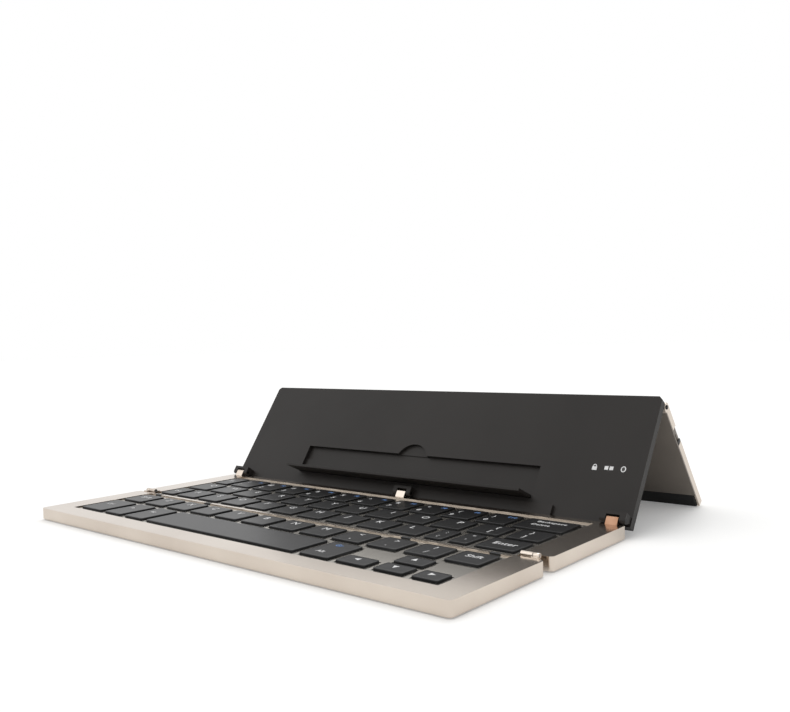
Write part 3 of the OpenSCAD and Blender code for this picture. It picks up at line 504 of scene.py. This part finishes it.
def addKeyCap(form, box, settings):
    low, high = box
    flange = settings["flange"] * mm
    edge = settings["edge"] * mm
    draft = settings["draft"] * mm
    corner = settings["corner"] * mm
    bodyLow = (low.x + flange, low.y + flange)
    bodyHigh = (high.x - flange, high.y - flange)

    def ring(inset, z, radius):
        return roundedRing(form, (bodyLow[0] + inset, bodyLow[1] + inset),
                           (bodyHigh[0] - inset, bodyHigh[1] - inset), radius, z, settings["arc"])

    shoulder = low.z + settings["flangeHeight"] * mm
    rings = [ring(-flange, low.z, corner), ring(-flange, shoulder, corner),
             ring(0, shoulder, corner), ring(draft, high.z - edge, corner)]
    for i in range(1, settings["round"] + 1):
        turn = math.radians(90 * i / settings["round"])
        inward = edge * (1 - math.cos(turn))
        rings.append(ring(draft + inward, high.z - edge * (1 - math.sin(turn)),
                          corner - inward * settings["roundShrink"]))
    for inward, dishShare, cornerShare in settings["dishRings"]:
        rings.append(ring(draft + edge + inward * mm, high.z - settings["dish"] * mm * dishShare,
                          corner * cornerShare))
    for lower, upper in zip(rings, rings[1:]):
        joinRings(form, lower, upper)
    form.faces.new(rings[-1])
    form.faces.new(list(reversed(rings[0])))


keyNodes = [n for n in frame["nodes"] if slotOfNode[n] == "key_plastic"]
keyBoxes = {}
for nodeName in keyNodes:
    source = cadForm(nodeName)
    keyBoxes[nodeName] = boxesOf(source)
    source.free()
    form = bmesh.new()
    for box in keyBoxes[nodeName]:
        addKeyCap(form, box, keySettings)
    mesh = toMesh(form, nodeName + "_caps")
    smoothFaces(mesh, keySettings["crisp"])
    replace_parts(addPiece(nodeName + "_caps", mesh, bodyOfNode[nodeName], "key_plastic"), nodeName)
print("keys made")

legendSettings = {
    "thickness": 0.06,   # mm, of the print, most of it sunk in the key
    "sunk": 0.02,        # mm, of the print's middle below the key's top
    "capShare": 0.7,     # height of a capital in the font's own size
    "curveSteps": 3,     # steps of a curved stroke
}


# A mark is (text, share of the key's width, share of its depth, height in mm).
def letterMark(text, across):
    return [(text, across, 0.68, 3.4)]


def numberMarks(number, sign):
    return [(number, 0.22, 0.26, 2.8), (sign, 0.24, 0.64, 2.6)]


def signMarks(lower, upper, across=0.5):
    return [(lower, across, 0.32, 2.8), (upper, across, 0.72, 2.8)]


legends = {
    "escape_key": [[("Esc", 0.5, 0.5, 2.2)]],
    "number_keys": [numberMarks(n, s) for n, s in zip("1234567890", "!@#$%^&*()")],
    "backspace_key": [[("Backspace", 0.52, 0.74, 2.3), ("Delete", 0.42, 0.44, 2.2)]],
    "upper_letter_keys": [letterMark(c, 0.58) for c in "QWERTYUIOP"]
    + [signMarks("[", "{", 0.58), signMarks("]", "}", 0.42)],
    "caps_key": [[("Caps", 0.5, 0.5, 2.0)]],
    "home_letter_keys": [letterMark(c, 0.36) for c in "ASDFGHJKL"]
    + [signMarks(";", ":"), signMarks("'", '"')],
    "enter_key": [[("Enter", 0.52, 0.52, 3.3)]],
    "left_shift_key": [[("Shift", 0.5, 0.6, 2.9)]],
    "lower_letter_keys": [letterMark(c, 0.45) for c in "ZXCVBNM"]
    + [signMarks(",", "<"), signMarks(".", ">"), signMarks("/", "?")],
    "right_shift_key": [[("Shift", 0.5, 0.6, 2.9)]],
    "left_modifier_keys": [[(word, 0.4, 0.6, 2.3)] for word in ("Ctrl", "Fn", "Alt")],
    "right_modifier_key": [[("Alt", 0.4, 0.31, 2.3)]],
}
blueLegends = {
    "number_keys": [[("F" + str(i + 1), 0.74, 0.74, 2.0)] for i in range(10)],
    "right_modifier_key": [[("Gr", 0.42, 0.78, 2.3)]],
}


def addText(form, text, place, height, settings):
    curve = bpy.data.curves.new("mark", "FONT")
    curve.body = text
    curve.size = height / settings["capShare"]
    curve.align_x = "CENTER"
    curve.align_y = "CENTER"
    curve.resolution_u = settings["curveSteps"]
    curve.extrude = settings["thickness"] * mm / 2
    holder = bpy.data.objects.new("mark", curve)
    scene.collection.objects.link(holder)
    mesh = solvedMesh(holder)
    mesh.transform(Matrix.Translation(place))
    form.from_mesh(mesh)
    bpy.data.objects.remove(holder)
    bpy.data.curves.remove(curve)
    bpy.data.meshes.remove(mesh)


def printLegends(table, ink, suffix, settings):
    for nodeName, marksOfKeys in table.items():
        form = bmesh.new()
        for (low, high), marks in zip(keyBoxes[nodeName], marksOfKeys):
            for text, across, along, height in marks:
                place = (low.x + (high.x - low.x) * across, low.y + (high.y - low.y) * along,
                         high.z - settings["sunk"] * mm)
                addText(form, text, place, height * mm, settings)
        addPiece(nodeName + suffix, toMesh(form, nodeName + suffix), bodyOfNode[nodeName],
                 "key_plastic", materials[ink])


printLegends(legends, "whiteInk", "_legends", legendSettings)
printLegends(blueLegends, "blueInk", "_blue_legends", legendSettings)

# Arrows on the cursor keys: one flat triangle each.
arrowSettings = {
    "shift": (-0.6, 1.0),        # mm, from the middle of the key
    "size": 1.5,                 # mm, from the triangle's middle to a corner
    "corners": (0, 130, 230),    # degrees from the way it points
    "ink": 0.02,                 # mm, above the key's edge
    "root": 0.07,                # mm, below it, to reach into the hollow
}


def printArrow(nodeName, direction, settings):
    low, high = keyBoxes[nodeName][0]
    middle = (low + high) / 2
    middle.x += settings["shift"][0] * mm
    middle.y += settings["shift"][1] * mm
    size = settings["size"] * mm
    corners = []
    for angle in settings["corners"]:
        turn = math.radians(direction + angle)
        corners.append((middle.x + size * math.cos(turn), middle.y + size * math.sin(turn)))
    form = bmesh.new()
    bottom = [form.verts.new((x, y, high.z - settings["root"] * mm)) for x, y in corners]
    top = [form.verts.new((x, y, high.z + settings["ink"] * mm)) for x, y in corners]
    form.faces.new(top)
    form.faces.new(list(reversed(bottom)))
    joinRings(form, bottom, top)
    addPiece(nodeName + "_arrow", toMesh(form, nodeName + "_arrow"), bodyOfNode[nodeName],
             "key_plastic", materials["whiteInk"])


for nodeName, direction in (("right_arrow_key", 0), ("up_arrow_key", 90),
                            ("left_arrow_key", 180), ("down_arrow_key", 270)):
    printArrow(nodeName, direction, arrowSettings)
print("legends printed")


# The marks at the light windows. Their outlines are in mm, across and up the stand's
# face, around the middle of each window.
markSettings = {
    "face": -3.55,                       # mm, the stand's face behind the hinge line
    "rise": 24.2,                        # mm, windows above the hinge
    "windows": (101.1, 107.7, 114.3),    # mm, across
    "ink": 0.02,                         # mm, print above the face
    "root": 0.04,                        # mm, print below it
    "lockBody": (-1.1, -1.4, 1.1, 0.25),    # left, low, right, high
    "shackleMiddle": (0, 0.5),
    "shackleRadii": ((0.85, 0.95), (0.5, 0.6)),    # of its outer and inner edge
    "shackleSteps": 10,
    "squareStarts": (-2.0, 0.3),
    "squareSide": 1.7,
    "ringRadii": ((1.15, 1.4), (0.75, 1.0)),
    "ringSteps": 12,
}
jointPlaces = {joint["name"]: joint["pos_m"]
               for joint in frame["record"]["behaviour"]["joints"] if "pos_m" in joint}


def arcPoints(centre, radii, start, end, steps):
    points = []
    for i in range(steps + 1):
        angle = math.radians(start + (end - start) * i / steps)
        points.append((centre[0] + radii[0] * math.cos(angle),
                       centre[1] + radii[1] * math.sin(angle)))
    return points


def standPoint(across, up, out):
    hinge = Vector(jointPlaces["stand_tilt"])
    ahead = Vector((0, math.cos(standSlope), math.sin(standSlope)))
    away = Vector((0, -math.sin(standSlope), math.cos(standSlope)))
    return hinge + (Vector((across, 0, 0)) + ahead * up + away * out) * mm


def addMark(form, outline, window, settings):
    def loop(out):
        return [form.verts.new(standPoint(settings["windows"][window] + x, settings["rise"] + y,
                                          settings["face"] + out)) for x, y in outline]
    bottom = loop(-settings["root"])
    top = loop(settings["ink"])
    form.faces.new(top)
    form.faces.new(list(reversed(bottom)))
    joinRings(form, bottom, top)


def rectangle(x0, y0, x1, y1):
    return [(x0, y0), (x1, y0), (x1, y1), (x0, y1)]


# a band bent between two ellipses, whose feet stand on the lock's body
def shackle(settings):
    outer, inner = settings["shackleRadii"]
    middle, steps = settings["shackleMiddle"], settings["shackleSteps"]
    foot = settings["lockBody"][3]
    return ([(outer[0], foot)] + arcPoints(middle, outer, 0, 180, steps)
            + [(-outer[0], foot), (-inner[0], foot)] + arcPoints(middle, inner, 180, 0, steps)
            + [(inner[0], foot)])


def halfRing(settings, start):
    outer, inner = settings["ringRadii"]
    steps = settings["ringSteps"]
    return (arcPoints((0, 0), outer, start, start + 180, steps)
            + arcPoints((0, 0), inner, start + 180, start, steps))


def printWindowMarks(settings):
    form = bmesh.new()
    addMark(form, rectangle(*settings["lockBody"]), 0, settings)
    addMark(form, shackle(settings), 0, settings)
    side = settings["squareSide"]
    for x0 in settings["squareStarts"]:
        addMark(form, rectangle(x0, -side / 2, x0 + side, side / 2), 1, settings)
    for start in (0, 180):
        addMark(form, halfRing(settings, start), 2, settings)
    addPiece("window_marks", toMesh(form, "window_marks"), "stand", "clear_window",
             materials["whiteInk"])


printWindowMarks(markSettings)
print("window marks printed")


studioSettings = {
    "floor": "#f2f2f1",
    "floorHalf": 8,      # m, half of the floor's side
    "floorGlow": 0.16,   # lifts the floor to white for the camera, and keeps its shadow
    "world": 0.7,        # light from the surroundings
    "suns": {            # (degrees right of the front, elevation, strength, softness in degrees)
        "back_sun": (205, 62, 0.75, 34),
        "front_sun": (-35, 48, 0.45, 60),
    },
}


# 1 for what the camera sees directly, in metal or through glass
def seenRay(tree):
    path = addNode(tree, "ShaderNodeLightPath")
    mirrored = addNode(tree, "ShaderNodeMath", {"operation": "MAXIMUM"})
    tree.links.new(path.outputs["Is Glossy Ray"], mirrored.inputs[0])
    tree.links.new(path.outputs["Is Transmission Ray"], mirrored.inputs[1])
    seen = addNode(tree, "ShaderNodeMath", {"operation": "MAXIMUM"})
    tree.links.new(path.outputs["Is Camera Ray"], seen.inputs[0])
    tree.links.new(mirrored.outputs[0], seen.inputs[1])
    return seen.outputs[0]


def makeWorld(settings):
    world = bpy.data.worlds.new("studio")
    scene.world = world
    world.use_nodes = True
    tree = world.node_tree
    tree.nodes.clear()
    ambient = addNode(tree, "ShaderNodeBackground",
                      {"Color": (1, 1, 1, 1), "Strength": settings["world"]})
    white = addNode(tree, "ShaderNodeBackground", {"Color": (1, 1, 1, 1), "Strength": 1.0})
    mix = addNode(tree, "ShaderNodeMixShader", links={"Fac": seenRay(tree)})
    tree.links.new(ambient.outputs[0], mix.inputs[1])
    tree.links.new(white.outputs[0], mix.inputs[2])
    addNode(tree, "ShaderNodeOutputWorld", links={"Surface": mix.outputs[0]})


def makeFloor(settings):
    form = bmesh.new()
    bmesh.ops.create_grid(form, x_segments=1, y_segments=1, size=settings["floorHalf"])
    mesh = toMesh(form, "floor")
    floor = bpy.data.objects.new("floor", mesh)
    material, tree = startMaterial("palePaperFloor")
    paper = addNode(tree, "ShaderNodeBsdfDiffuse", {"Color": linear(settings["floor"])})
    strength = addNode(tree, "ShaderNodeMath", {"operation": "MULTIPLY"})
    tree.links.new(seenRay(tree), strength.inputs[0])
    strength.inputs[1].default_value = settings["floorGlow"]
    glow = addNode(tree, "ShaderNodeEmission", links={"Strength": strength.outputs[0]})
    both = addNode(tree, "ShaderNodeAddShader")
    tree.links.new(paper.outputs[0], both.inputs[0])
    tree.links.new(glow.outputs[0], both.inputs[1])
    finishMaterial(tree, both)
    mesh.materials.append(material)
    scene.collection.objects.link(floor)


def makeSun(name, look):
    across, up, strength, softness = look
    data = bpy.data.lights.new(name, "SUN")
    data.energy = strength
    data.angle = math.radians(softness)
    lamp = bpy.data.objects.new(name, data)
    azimuth, elevation = math.radians(across), math.radians(up)
    towards = Vector((math.sin(azimuth) * math.cos(elevation),
                      -math.cos(azimuth) * math.cos(elevation), math.sin(elevation)))
    lamp.rotation_euler = (-towards).to_track_quat("-Z", "Y").to_euler()
    scene.collection.objects.link(lamp)


makeWorld(studioSettings)
makeFloor(studioSettings)
for lampName, look in studioSettings["suns"].items():
    makeSun(lampName, look)
scene.view_settings.view_transform = "Standard"
print("studio lit")
